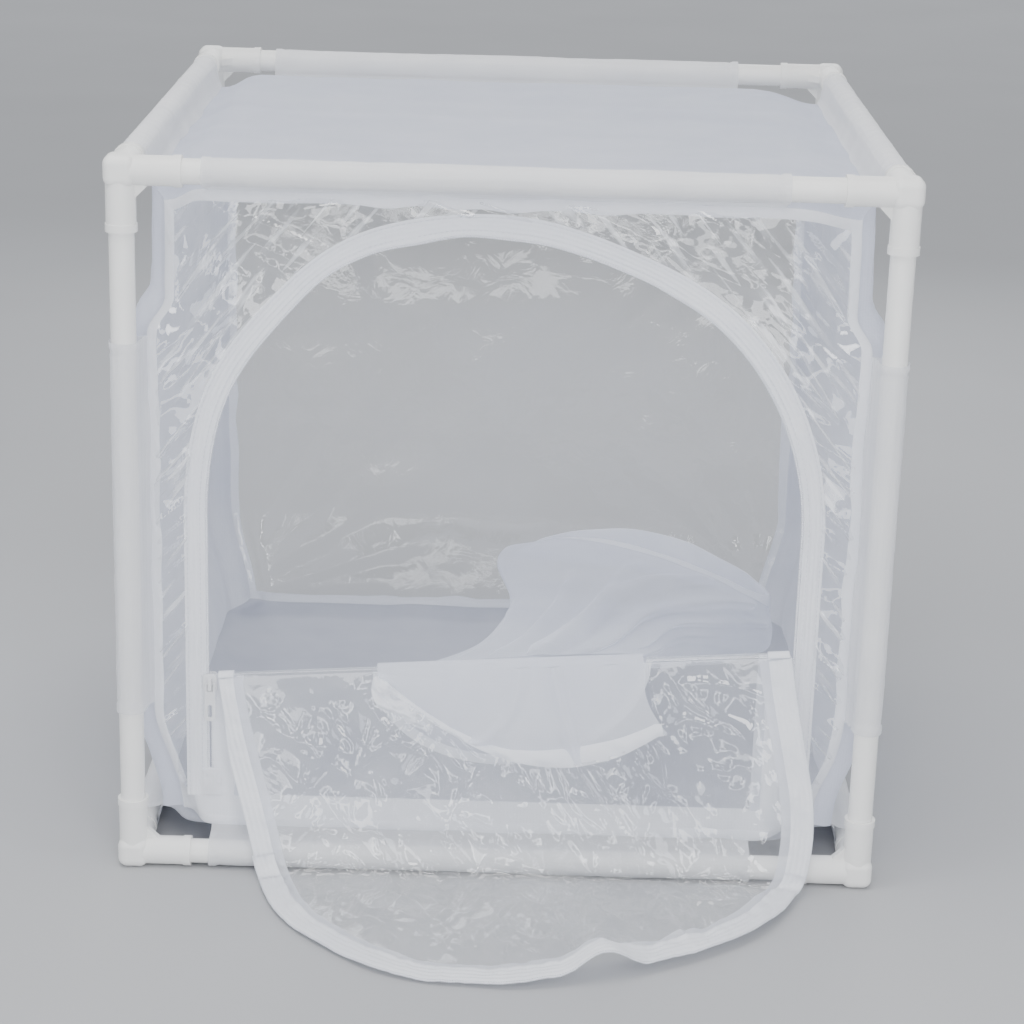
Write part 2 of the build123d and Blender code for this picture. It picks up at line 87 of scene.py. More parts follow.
for name, place, aim, size, power, colour in LIGHTS:
    data = bpy.data.lights.new(name, "AREA")
    data.shape = "RECTANGLE"
    data.size, data.size_y = size
    data.energy = power
    data.color = colour
    light = bpy.data.objects.new(name, data)
    light.location = place
    towards = np.array(aim) - np.array(place)
    light.rotation_euler = Vector(towards).to_track_quat("-Z", "Y").to_euler()
    scene.collection.objects.link(light)

world = bpy.data.worlds.new("studio")
world.use_nodes = True
background = world.node_tree.nodes["Background"].inputs
background["Color"].default_value = (0.80, 0.84, 0.90, 1)
background["Strength"].default_value = 0.36
scene.world = world

# ---- materials

WAVE_LENGTH = 0.314  # metres between the bands of a wave texture whose scale is 1
THREAD_SPACING = 3.1415  # in pitches


def material(name):
    """A new node material, and a function that adds a node to it with values set by socket name."""
    made = bpy.data.materials.new(name)
    made.use_nodes = True
    tree = made.node_tree
    tree.nodes.clear()

    def add(kind, values=None, **settings):
        node = tree.nodes.new("ShaderNode" + kind)
        for key, value in settings.items():
            setattr(node, key, value)
        for socket, value in (values or {}).items():
            if hasattr(value, "is_linked"):
                tree.links.new(value, node.inputs[socket])
            else:
                node.inputs[socket].default_value = value
        return node

    return made, add


def surfaced(made, add, shader):
    add("OutputMaterial", {"Surface": shader})
    return made


def object_place(add):
    return add("TexCoord").outputs["Object"]


def noise_at(add, place, scale, detail, distortion=0.0):
    values = {"Vector": place, "Scale": scale, "Detail": detail, "Distortion": distortion}
    return add("TexNoise", values).outputs["Fac"]


def maths(add, operation, first, second=0.5):
    return add("Math", {0: first, 1: second}, operation=operation).outputs["Value"]


def mapped(add, value, start, end, low, high):
    """The value, with start to end mapped onto low to high."""
    values = {"Value": value, "From Min": start, "From Max": end, "To Min": low, "To Max": high}
    return add("MapRange", values).outputs["Result"]


def bumped(add, height, strength, distance):
    values = {"Height": height, "Strength": strength, "Distance": distance}
    return add("Bump", values).outputs["Normal"]


def mixed(add, share, first, second):
    return add("MixShader", {0: share, 1: first, 2: second}).outputs["Shader"]


def ramp(add, factor, low, high):
    """Colours from low to high, over the middle of a noise factor's range."""
    node = add("ValToRGB", {"Fac": factor})
    for element, position, colour in zip(node.color_ramp.elements, (0.3, 0.7), (low, high)):
        element.position = position
        element.color = (*colour, 1)
    return node.outputs["Color"]


def weave_height(add, pitch):
    """Height of a plain weave, from object coordinates, the same on faces of every direction."""
    place = object_place(add)
    values = {"Vector": place, "Scale": WAVE_LENGTH / (THREAD_SPACING * pitch), "Distortion": 0.6,
              "Detail": 1.0, "Detail Scale": 2.0}
    waves = [add("TexWave", values, bands_direction=axis, wave_profile="SIN").outputs["Fac"]
             for axis in ("X", "Y", "Z")]
    return maths(add, "ADD", maths(add, "ADD", waves[0], waves[1]), waves[2])


def fabric(name, low, high, pitch, cover=1.0, glow=0.35):
    """Thin white cloth: woven bump, faint clouds, light coming through, and see-through share 1 - cover."""
    made, add = material(name)
    colour = ramp(add, noise_at(add, object_place(add), 25.0, 4.0), low, high)
    bump = bumped(add, weave_height(add, pitch), 0.2, pitch * 0.3)
    cloth = add("BsdfPrincipled", {"Base Color": colour, "Roughness": 0.85, "Sheen Weight": 0.25,
                                             "Specular IOR Level": 0.25, "Normal": bump}).outputs["BSDF"]
    through = add("BsdfTranslucent", {"Color": colour, "Normal": bump}).outputs["BSDF"]
    body = mixed(add, glow, cloth, through)
    if cover < 1:
        clear = add("BsdfTransparent").outputs["BSDF"]
        steepness = add("LayerWeight", {"Blend": 0.35}).outputs["Facing"]
        covered = mapped(add, steepness, 0.0, 0.8, cover, min(1.0, cover + 0.5))
        body = mixed(add, covered, clear, body)
    return surfaced(made, add, body)


def painted_highlight_streaks(add, place, strength):
    """Painted highlight streaks: white lines that run down and outward on both sides of the door, where the
    film's creases would catch the light.
    """
    axes = add("SeparateXYZ", {"Vector": place})
    mirrored = maths(add, "ABSOLUTE", axes.outputs["X"])
    folded = add("CombineXYZ", {"X": mirrored, "Z": axes.outputs["Z"]}).outputs["Vector"]
    fan = add("Mapping", {"Vector": folded, "Rotation": (0, math.radians(52), 0),
                                    "Scale": (0.06, 1.0, 0.0055)}, vector_type="TEXTURE").outputs["Vector"]
    return mapped(add, noise_at(add, fan, 1.0, 2.0, 0.4), 0.54, 0.66, 0.0, strength)


def clear_film(name, haze, rough=0.06, crinkle=0.5, scale=60.0, painted_streak_strength=0.0):
    """Clear flexible film: see-through, glossy and crinkled, with a faint haze and perhaps painted highlight
    streaks.
    """
    made, add = material(name)
    place = object_place(add)
    cells = add("TexVoronoi", {"Vector": place, "Scale": scale * 0.7, "Randomness": 1.0},
                feature="DISTANCE_TO_EDGE").outputs["Distance"]
    bump = bumped(add, maths(add, "ADD", noise_at(add, place, scale, 3.0, 1.2), cells), crinkle, 0.0012)
    haze_and_painted_streaks = mapped(add, noise_at(add, place, 14.0, 3.0), 0.35, 0.7, haze * 0.5, haze * 1.5)
    # The streaks add painted highlights to the haze: white is mixed in where the creases would reflect the
    # lamps.
    if painted_streak_strength:
        haze_and_painted_streaks = maths(add, "ADD", haze_and_painted_streaks, painted_highlight_streaks(add, place, painted_streak_strength))
    clear = add("BsdfTransparent", {"Color": (0.985, 0.988, 0.993, 1)}).outputs["BSDF"]
    white = add("BsdfPrincipled", {"Base Color": (0.86, 0.88, 0.92, 1),
                                             "Roughness": 0.35}).outputs["BSDF"]
    gloss = add("BsdfGlossy", {"Color": (1, 1, 1, 1), "Roughness": rough,
                                         "Normal": bump}).outputs["BSDF"]
    facing = add("LayerWeight", {"Blend": 0.5, "Normal": bump}).outputs["Facing"]
    reflected = mapped(add, maths(add, "POWER", facing, 4.0), 0.0, 1.0, 0.075, 0.9)
    return surfaced(made, add, mixed(add, reflected, mixed(add, haze_and_painted_streaks, clear, white), gloss))


def plastic(name, low, high, rough, grain):
    """White moulded or extruded plastic: faint mottling, fine grain, and slight scuffs in its gloss."""
    made, add = material(name)
    place = object_place(add)
    colour = ramp(add, noise_at(add, place, 35.0, 5.0), low, high)
    bump = bumped(add, noise_at(add, place, grain, 4.0), 0.12, 0.0004)
    gloss = mapped(add, noise_at(add, place, 90.0, 6.0, 1.0), 0.35, 0.75, rough, rough + 0.18)
    body = add("BsdfPrincipled", {"Base Color": colour, "Roughness": gloss, "Normal": bump,
                                            "Subsurface Weight": 0.12, "Subsurface Scale": 0.5,
                                            "Subsurface Radius": (0.004, 0.004, 0.004)}).outputs["BSDF"]
    return surfaced(made, add, body)


def floor_look():
    made, add = material("studio_floor")
    colour = ramp(add, noise_at(add, object_place(add), 3.0, 3.0), (0.42, 0.425, 0.44), (0.44, 0.445, 0.46))
    body = add("BsdfPrincipled", {"Base Color": colour, "Roughness": 0.7}).outputs["BSDF"]
    return surfaced(made, add, body)


PIPE = plastic("pipe_plastic", (0.86, 0.86, 0.845), (0.89, 0.89, 0.875), 0.32, 500.0)
FITTING = plastic("fitting_plastic", (0.84, 0.84, 0.825), (0.88, 0.88, 0.865), 0.38, 900.0)
METAL = plastic("slider_enamel", (0.74, 0.75, 0.78), (0.80, 0.81, 0.84), 0.25, 700.0)
NYLON = plastic("coil_nylon", (0.72, 0.74, 0.80), (0.78, 0.80, 0.86), 0.35, 700.0)
TUNNEL = fabric("tunnel_fabric", (0.86, 0.87, 0.91), (0.91, 0.92, 0.95), 0.0005, cover=0.55, glow=0.3)
TOP = fabric("top_fabric", (0.78, 0.81, 0.92), (0.83, 0.86, 0.96), 0.0005, cover=0.64, glow=0.5)
# The floor cloth's darker grey-blue colour is painted shade: the tent's top and sides shade its floor.
FLOOR_CLOTH_PAINTED_SHADE = fabric("floor_fabric", (0.56, 0.58, 0.66), (0.61, 0.63, 0.70), 0.0006, cover=0.97, glow=0.2)
SIDE = fabric("side_mesh", (0.80, 0.83, 0.93), (0.86, 0.88, 0.97), 0.0006, cover=0.82, glow=0.45)
BINDING = fabric("binding_fabric", (0.87, 0.89, 0.94), (0.92, 0.93, 0.97), 0.0007, glow=0.25)
TAPE = fabric("zip_tape", (0.88, 0.90, 0.95), (0.93, 0.94, 0.98), 0.0007, glow=0.2)
SHEER = fabric("sleeve_mesh", (0.88, 0.90, 0.97), (0.93, 0.95, 1.0), 0.0006, cover=0.40, glow=0.5)
SHEER_DENSE = fabric("sleeve_mesh_doubled", (0.88, 0.90, 0.97), (0.93, 0.95, 1.0), 0.0006,
                     cover=0.72, glow=0.45)
RING_BAND = fabric("ring_band", (0.90, 0.92, 0.97), (0.95, 0.96, 1.0), 0.0006, glow=0.3)
BACK_FILM = clear_film("back_clear_film", haze=0.05, rough=0.08, crinkle=0.5, scale=45.0)
# The front film gets painted highlight streaks on both sides of the door.
FRONT_FILM = clear_film("front_clear_film", haze=0.06, rough=0.05, crinkle=0.10, scale=40.0, painted_streak_strength=0.5)
SILL_FILM = clear_film("sill_clear_film", haze=0.06, crinkle=0.2, scale=40.0)
FLAP_FILM = clear_film("flap_clear_film", haze=0.13, rough=0.09, crinkle=0.35, scale=45.0)

# ---- mesh helpers


def new_piece(name, points, faces, look):
    mesh = bpy.data.meshes.new(name)
    places = [tuple(p) for p in np.asarray(points, float)]
    mesh.from_pydata(places, [], [tuple(int(i) for i in f) for f in faces])
    mesh.update()
    mesh.materials.append(look)
    mesh.polygons.foreach_set("use_smooth", [True] * len(mesh.polygons))
    piece = bpy.data.objects.new(name, mesh)
    scene.collection.objects.link(piece)
    return piece


def grid_faces(rows, columns, closed=False):
    """Faces of a grid of points stored row by row; closed joins the last column to the first."""
    across = columns if closed else columns - 1
    r, c = np.meshgrid(np.arange(rows - 1), np.arange(across), indexing="ij")
    a = r * columns + c
    b = r * columns + (c + 1) % columns
    return np.stack([a, b, b + columns, a + columns], -1).reshape(-1, 4)


def grid_piece(name, points, look, closed=False):
    """A surface through rows and columns of points."""
    return new_piece(name, points.reshape(-1, 3), grid_faces(*points.shape[:2], closed), look)


def crossed(first, second):
    """Grids of the two ranges' values: first changes from row to row, second from column to column."""
    return np.meshgrid(first, second, indexing="ij")


def declare(piece, body, node):
    """Parents a sheet to the body it rides on and hides the node it replaces. A blended sheet has no one
    body.
    """
    if body:
        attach(piece, body)
    if node:
        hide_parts(node)


def smoothstep(x, low, high):
    t = np.clip((np.asarray(x, float) - low) / (high - low), 0, 1)
    return t * t * (3 - 2 * t)


NOISE_CELLS = 128


def noise(u, v, seed):
    """Smooth noise from -1 to 1 on a plane, the same for the same seed."""
    table = np.random.default_rng(seed).uniform(-1, 1, (NOISE_CELLS, NOISE_CELLS))
    u, v = np.asarray(u, float), np.asarray(v, float)
    i, j = np.floor(u).astype(int), np.floor(v).astype(int)
    fu, fv = u - i, v - j
    fu, fv = fu * fu * (3 - 2 * fu), fv * fv * (3 - 2 * fv)

    def at(a, b):
        return table[a % NOISE_CELLS, b % NOISE_CELLS]

    low = at(i, j) * (1 - fu) + at(i + 1, j) * fu
    high = at(i, j + 1) * (1 - fu) + at(i + 1, j + 1) * fu
    return low * (1 - fv) + high * fv


def ridges(u, v, seed):
    """Sharp-crested creases from 0 to 1."""
    return (1 - np.abs(noise(u, v, seed)) * 1.6).clip(0, 1) ** 3


def streaks(x, z, degrees, spacing, length, seed):
    """Long narrow creases that run that many degrees above the +x direction."""
    a = math.radians(degrees)
    along, across = x * math.cos(a) + z * math.sin(a), -x * math.sin(a) + z * math.cos(a)
    bent = 0.35 * noise(along / length, across / spacing / 3, seed + 5)
    return ridges(across / spacing + bent, along / length, seed)


# ---- the tent's twelve edges


def span(node, axis):
    """A node's lowest and highest place along an axis."""
    low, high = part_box(node)
    return low[axis], high[axis]


TENT_X = (span("side_panel_left", 0)[0], span("side_panel_right", 0)[1])
DOOR_Y = sum(span("front_film", 1)) / 2
BACK_Y = sum(span("back_film", 1)) / 2
TENT_Z = (span("floor_panel", 2)[0], span("top_panel", 2)[1])
BOX = (TENT_X, (DOOR_Y, BACK_Y), TENT_Z)
WIDTH, DEPTH, HEIGHT = (high - low for low, high in BOX)
# The tunnels hold the edges straight between these places; beyond them the corners are drawn in
HELD = (
    span("tunnel_width_top_front", 0),
    span("tunnel_depth_top_left", 1),
    span("tunnel_post_front_left", 2),
)
PULL_LOW = np.array([0.017, 0.012, 0.006])
PULL_HIGH = np.array([0.010, 0.010, 0.009])
POST_TOP_REACH = 0.35  # the upright edges' upper ends are drawn in over this share of their free length
EDGE_WOBBLE = 0.001


def corner_pull(corner):
    """How far a tent corner, given as three 0 or 1 numbers, is drawn in from the straight box."""
    inward = np.array([1 - 2 * side for side in corner])
    return inward * (PULL_HIGH if corner[2] else PULL_LOW)


def edge_points(axis, sides, t):
    """Points of the tent edge along axis, at the sides (0 or 1) of the other two axes, for positions t."""
    t = np.asarray(t, float)
    others = [a for a in range(3) if a != axis]
    (low, high), (held_low, held_high) = BOX[axis], HELD[axis]
    points = np.zeros(t.shape + (3,))
    points[..., axis] = t
    for a, side in zip(others, sides):
        points[..., a] = BOX[a][side]
    for end, beyond_held, reach in (
        (0, (held_low - t) / (held_low - low), 1.0),
        (1, (t - held_high) / (high - held_high), POST_TOP_REACH if axis == 2 else 1.0),
    ):
        corner = [0, 0, 0]
        corner[axis] = end
        for a, side in zip(others, sides):
            corner[a] = side
        points += smoothstep(beyond_held, 0, reach)[..., None] * corner_pull(corner)
    seed = 10 * axis + 2 * sides[0] + sides[1]
    away = np.minimum(t - low, high - t)
    for i, a in enumerate(others):
        wobble = noise(t * 40 + 7 * i, seed * 3.3 + 0.5, 11 + seed) * smoothstep(away, 0, 0.02)
        points[..., a] += (1 - 2 * sides[i]) * EDGE_WOBBLE * wobble
    return points


def panel(axis, side, u, v):
    """Points of the tent's panel at that side of axis, for two coordinates as on the flat panel."""
    first, second = [a for a in range(3) if a != axis]
    (u0, u1), (v0, v1) = BOX[first], BOX[second]
    s, t = (u - u0) / (u1 - u0), (v - v0) / (v1 - v0)

    def edge(along, other, other_side, positions):
        sides = {axis: side, other: other_side}
        return edge_points(along, [sides[a] for a in range(3) if a != along], positions)

    bottom, top = edge(first, second, 0, u), edge(first, second, 1, u)
    left, right = edge(second, first, 0, v), edge(second, first, 1, v)

    def corner(a, b):
        return edge(first, second, b, np.full(np.shape(u), (u0, u1)[a]))

    s, t = s[..., None], t[..., None]
    low = (1 - s) * (1 - t) * corner(0, 0) + s * (1 - t) * corner(1, 0)
    high = (1 - s) * t * corner(0, 1) + s * t * corner(1, 1)
    return (1 - t) * bottom + t * top + (1 - s) * left + s * right - (low + high)


def panel_relief(s, t, seed, sag, fan, fine):
    """Relief of a hung panel: a sag, tension creases that fan out from its corners, and fine creases."""
    inside = np.clip(16 * s * (1 - s) * t * (1 - t), 0, 1)
    relief = sag * np.sin(math.pi * s) * np.sin(math.pi * t)
    for k, (cs, ct) in enumerate(((0, 0), (1, 0), (0, 1), (1, 1))):
        away = np.hypot(s - cs, t - ct)
        angle = np.arctan2(np.abs(t - ct), np.abs(s - cs) + 1e-6)
        reach = np.exp(-((away - 0.16) / 0.22) ** 2)
        relief = relief + fan * reach * noise(angle * 11, away * 1.2, seed + k) * smoothstep(away, 0, 0.08)
    relief = relief + fine * noise(s * 9, t * 9, seed + 9) + 0.5 * fine * noise(s * 22, t * 20, seed + 10)
    return relief * smoothstep(inside, 0, 0.25)


# ---- studio floor and whole panels

FLOOR_HALF = 40
floor_points = [(-FLOOR_HALF, -FLOOR_HALF, 0), (FLOOR_HALF, -FLOOR_HALF, 0),
                (FLOOR_HALF, FLOOR_HALF, 0), (-FLOOR_HALF, FLOOR_HALF, 0)]
new_piece("studio_floor", floor_points, [(0, 1, 2, 3)], floor_look())

# Name, node, slot, axis, side, flat size, look, seed, sag, depth of fanned and of fine creases, grid step
PANELS = (
    ("top_cloth", "top_panel", "top_fabric", 2, 1, (WIDTH, DEPTH), TOP, 21, -0.004, 0.0012, 0.0003, 0.006),
    ("floor_cloth", "floor_panel", "floor_fabric", 2, 0, (WIDTH, DEPTH), FLOOR_CLOTH_PAINTED_SHADE, 31,
     0.001, 0.0012, 0.0005, 0.006),
    ("side_cloth_left", "side_panel_left", "side_mesh", 0, 0, (DEPTH, HEIGHT), SIDE, 41,
     -0.002, 0.002, 0.0006, 0.006),
    ("side_cloth_right", "side_panel_right", "side_mesh", 0, 1, (DEPTH, HEIGHT), SIDE, 51,
     -0.002, 0.002, 0.0006, 0.006),
    ("back_clear", "back_film", "clear_film", 1, 1, (WIDTH, HEIGHT), BACK_FILM, 61,
     0.002, 0.003, 0.0012, 0.004),
)
for name, node, slot, axis, side, size, look, seed, sag, fan, fine, step in PANELS:
    (low_u, high_u), (low_v, high_v) = [BOX[a] for a in range(3) if a != axis]
    u, v = crossed(np.linspace(low_u, high_u, int((high_u - low_u) / step)),
                   np.linspace(low_v, high_v, int((high_v - low_v) / step)))
    points = panel(axis, side, u, v)
    s, t = (u - low_u) / (high_u - low_u), (v - low_v) / (high_v - low_v)
    points[..., axis] += (2 * side - 1) * panel_relief(s, t, seed, sag, fan, fine)
    piece = grid_piece(name, points, look)
    declare(piece, "frame", node)

# ---- the arched door's line

TAPE_OUTER = span("zip_tape_frame", 0)[1]
ARCH_Z = span("zip_tape_frame", 2)[1] - TAPE_OUTER
CHAIN = (span("sill_coils", 0)[1] + span("zip_coil_frame", 0)[1] - 0.0014) / 2
SILL_Z = span("zip_tape_frame", 2)[0]
TAPE_INNER = 0.174
FRAME_COIL = CHAIN + 0.0013
FLAP_COIL = CHAIN - 0.0013
# The sewn arch isn't a true half circle: (angle in degrees, width, how far it swells outward)
DENTS = ((68, 18, -0.0065), (120, 17, 0.0075), (152, 16, 0.005))
RIPPLED = (60, 130)
RIPPLE_FADE = 12


class DoorLine:
    """Places along the zip: up the left leg, round the arch and down the right leg."""

    def __init__(self, step):
        leg = np.arange(SILL_Z, ARCH_Z, step)
        angle = np.linspace(180, 0, int(math.pi * CHAIN / step))
        none = np.zeros(len(leg))
        self.angle = np.concatenate([none + 180, angle, none])
        self.centre_z = np.concatenate([leg, none[:1].repeat(len(angle)) + ARCH_Z, leg[::-1]])
        self.cos = np.round(np.cos(np.radians(self.angle)), 9)
        self.sin = np.round(np.sin(np.radians(self.angle)), 9)
        x, z = self.at(CHAIN)
        self.along = np.concatenate([[0], np.cumsum(np.hypot(np.diff(x), np.diff(z)))])

    def offset(self, radius):
        """How far the sewn line stands outside the true arch."""
        swell = sum(size * np.exp(-((self.angle - at) / wide) ** 2) for at, wide, size in DENTS)
        start = smoothstep(self.angle, RIPPLED[0] - RIPPLE_FADE, RIPPLED[0])
        end = smoothstep(self.angle, RIPPLED[1], RIPPLED[1] + RIPPLE_FADE)
        near_chain = np.exp(-((radius - CHAIN) / 0.009) ** 2)
        ripple = 0.0016 * noise(self.angle / 9, 0.5, 71) * start * (1 - end) * near_chain
        return swell * smoothstep(radius, 0.09, 0.17) + ripple

    def at(self, radius):
        """x and z in the door plane at that distance from the arch's middle line."""
        r = radius + self.offset(radius)
        return r * self.cos, self.centre_z + r * self.sin


def on_frame(x, z, h):
    """A point of the closed door plane, h metres in front of it."""
    x, z, h = np.broadcast_arrays(x, z, h)
    return np.stack([x, DOOR_Y - h, z], -1)


def band(name, line, radii, height, place, look, keep=slice(None)):
    """A strip of the door from the first to the last of radii, height(line, radius) in front of it."""
    columns = [place(*line.at(radius), height(line, radius)) for radius in radii]
    return grid_piece(name, np.stack(columns, 1)[keep], look)


def beads(name, line, radius, rise, size, pitch, waist, place, keep=slice(None)):
    """A row of small rounded teeth or stitches along the zip; size is their reach across and outward."""
    x, z = line.at(radius)
    tooth = waist + (1 - waist) * (0.5 + 0.5 * np.cos(2 * math.pi * line.along / pitch))
    above = rise(line, radius) if callable(rise) else rise
    columns = []
    for angle in np.arange(6) / 6 * 2 * math.pi:
        out, up = size[0] * np.cos(angle) * tooth, size[1] * np.sin(angle) * tooth
        columns.append(place(x + out * line.cos, z + out * line.sin, above + up))
    points = np.stack(columns, 1)[keep]
    faces = grid_faces(len(points), 6, closed=True).tolist()
    last = len(points) * 6 - 6
    faces += [[5, 4, 3, 2, 1, 0], [last + i for i in range(6)]]
    piece = new_piece(name, points.reshape(-1, 3), faces, NYLON)
    return piece


def tape_height(line, radius):
    """The frame tape's woven ribs, with a soft buckle along its inner edge."""
    across = (radius - CHAIN) / (TAPE_OUTER - CHAIN)
    ribs = 0.00022 * math.cos(across * 2 * math.pi * 5)
    free = 1 - smoothstep(line.angle, 155, 172)  # the left leg stays flat for the slider
    buckle = 0.0011 * free * noise(line.along * 55, 2.5, 72) * max(0.0, 1 - across) ** 1.5
    return 0.0011 + ribs + buckle


# ---- front film round the door

FILM_START = TAPE_OUTER - 0.004  # the film is seen from this distance on, outside the tape


def front_creases(x, z):
    """Height of the front film's pulls: down and outward on both sides, steeper in the upper corners."""
    right = smoothstep(x, 0.12, 0.2)
    left = smoothstep(-x, 0.12, 0.2)
    high = smoothstep(z, 0.34, 0.42)
    side = right * streaks(x, z, -38, 0.011, 0.07, 81) + left * streaks(x, z, 222, 0.011, 0.07, 83)
    corner = right * streaks(x, z, -48, 0.009, 0.08, 85) + left * streaks(x, z, 248, 0.010, 0.09, 87)
    middle = (1 - right - left).clip(0, 1) * streaks(x, z, -25, 0.012, 0.06, 89)
    broad = 0.0022 * noise(x / 0.03, z / 0.05, 91)
    fine = 0.0003 * noise(x / 0.006, z / 0.006, 92)
    return 0.0030 * (side * (1 - high) + corner * high + middle) + broad + fine


rim_line = DoorLine(0.0017)
reach_x = TENT_X[1] / np.maximum(np.abs(rim_line.cos), 1e-6)
reach_z = (TENT_Z[1] - ARCH_Z) / np.maximum(rim_line.sin, 1e-6)
reach = np.minimum(reach_x, reach_z)
rim = panel(1, 0, reach * rim_line.cos, rim_line.centre_z + reach * rim_line.sin)
out = np.linspace(0, 1, 44)[None, :, None]
surround = on_frame(*rim_line.at(FILM_START), 0.0)[:, None] * (1 - out) + rim[:, None] * out
fade = smoothstep(out[..., 0], 0, 0.3) * (1 - smoothstep(out[..., 0], 0.75, 1))
surround[..., 1] -= fade * front_creases(surround[..., 0], surround[..., 2])
declare(grid_piece("front_clear", surround, FRONT_FILM), "frame", "front_film")

# The white band under the door, from the front film's lower edge up to the sill
band_x = np.linspace(*TENT_X, 160)
low_edge = edge_points(0, [0, 0], band_x)
high_edge = on_frame(band_x, SILL_Z + 0.0015, 0.0)
to_side = np.interp(np.abs(band_x), (FILM_START, TENT_X[1]), (0, 1))[:, None]
side_edge = np.where(band_x[:, None] < 0, edge_points(2, [0, 0], SILL_Z), edge_points(2, [1, 0], SILL_Z))
turning = on_frame(np.sign(band_x) * FILM_START, SILL_Z, 0.0)
high_edge = np.where(to_side > 0, turning * (1 - to_side) + side_edge * to_side, high_edge)
up = np.linspace(0, 1, 9)[None, :, None]
apron = low_edge[:, None] * (1 - up) + high_edge[:, None] * up
apron_relief = noise(apron[..., 0] * 60, apron[..., 2] * 90, 95) * np.sin(math.pi * up[..., 0])
apron[..., 1] -= 0.0006 + 0.0009 * apron_relief
declare(grid_piece("sill_cloth_band", apron, BINDING), "frame", "sill_band")

# ---- the frame's half of the zip

TOOTH_PITCH = 0.0016
TOOTH_WAIST = 0.55
STITCH_PITCH = 0.0034
STITCH_WAIST = 0.1
tape_line, tooth_line = DoorLine(0.0015), DoorLine(0.00038)

frame_tape = band("frame_zip_tape", tape_line, np.linspace(FRAME_COIL + 0.0008, TAPE_OUTER + 0.0008, 31),
                  tape_height, on_frame, TAPE)
declare(frame_tape, "frame", "zip_tape_frame")
frame_coil = beads("frame_zip_teeth", tooth_line, FRAME_COIL, 0.0006, (0.0011, 0.0011),
                   TOOTH_PITCH, TOOTH_WAIST, on_frame)
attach(frame_coil, "frame")
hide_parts("zip_coil_frame")
for name, radius in (
    ("frame_tape_stitches", TAPE_OUTER - 0.0012),
    ("frame_tape_inner_stitches", FRAME_COIL + 0.0042),
):
    stitches = beads(name, tooth_line, radius, 0.0013, (0.0003, 0.0003),
                     STITCH_PITCH, STITCH_WAIST, on_frame)
    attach(stitches, "frame")

# Doubled cloth ends sewn over the zip's two lower ends
PATCH_Y = span("zip_end_patches", 1)[0]
PATCH_HALF, PATCH_HIGH = 0.0065, 0.02
for side, sign in (("left", -1), ("right", 1)):
    px, pz = crossed(np.linspace(-PATCH_HALF, PATCH_HALF, 14), np.linspace(0, PATCH_HIGH, 20))
    to_edge = np.minimum(PATCH_HALF - np.abs(px), np.minimum(pz, PATCH_HIGH - pz))
    puff = 0.0009 * smoothstep(to_edge, 0, 0.0018) - 0.0007 * np.exp(-((to_edge - 0.0026) / 0.0006) ** 2)
    puff = puff + 0.0003 * noise(px * 300, pz * 300, 97)
    patch = np.stack([sign * CHAIN + px, PATCH_Y + 0.0007 - puff, SILL_Z + 0.0002 + pz], -1)
    declare(grid_piece(f"zip_end_patch_{side}", patch, BINDING), "frame", "zip_end_patches")

# ---- seam bindings round the front and back films

SEAM = 0.007
SEAM_POINTS = 150  # along each side of a panel


def seam_binding(name, node, side, wave, seed):
    """A strip of binding round the edge of the front or back film, with a wavy inner edge."""
    corners = np.array([(x, z) for x, z in zip(TENT_X + TENT_X[::-1], np.repeat(TENT_Z, 2))])
    t = np.linspace(0, 1, SEAM_POINTS, endpoint=False)[:, None]
    outline = np.concatenate([a + (b - a) * t for a, b in zip(corners, np.roll(corners, -1, 0))])
    middle = np.array([sum(TENT_X) / 2, sum(TENT_Z) / 2])
    half = np.array([WIDTH / 2, HEIGHT / 2])
    around = np.arange(len(outline)) / len(outline) * 2 * math.pi
    width = SEAM * (1 + wave * noise(around * 14, 3.5, seed) * np.sin(around * 2) ** 2)
    strips = []
    for share in (0, 0.12, 0.3, 0.5, 0.7, 0.88, 1):
        uv = middle + (outline - middle) * (1 - width[:, None] * share / half)
        points = panel(1, side, uv[:, 0], uv[:, 1])
        rise = 0.0009 * math.sin(math.pi * min(1, share * 1.02)) ** 0.5 + 0.0004
        points[:, 1] += rise if side else -rise
        points[:, 1] += 0.0006 * noise(around * 60, share * 3, seed + 1) * math.sin(math.pi * share)
        strips.append(points)
    points = np.stack(strips, 1)
    points = np.concatenate([points, points[:1]])
    declare(grid_piece(name, points, BINDING), "frame", node)


seam_binding("back_seam_binding", "back_seam", 1, 0.5, 101)
seam_binding("front_seam_binding", "front_seam", 0, 0.25, 103)

# ---- tunnels on the pipes

TUNNEL_R = 0.0089
HEM = 0.0065  # width of the hem at each end
TAIL_STEPS = (1.0, 0.82, 0.64, 0.46, 0.28, 0.12)  # shares of the way from the pipe to the tent's edge
ROUND_STEPS = 12  # round each half of the pipe
AXES = {"width": 0, "depth": 1, "post": 2}
PIPES = {"width": "width_rail", "depth": "depth_rail", "post": "post"}
SIDES = {"left": 0, "right": 1, "front": 0, "back": 1, "bottom": 0, "top": 1}


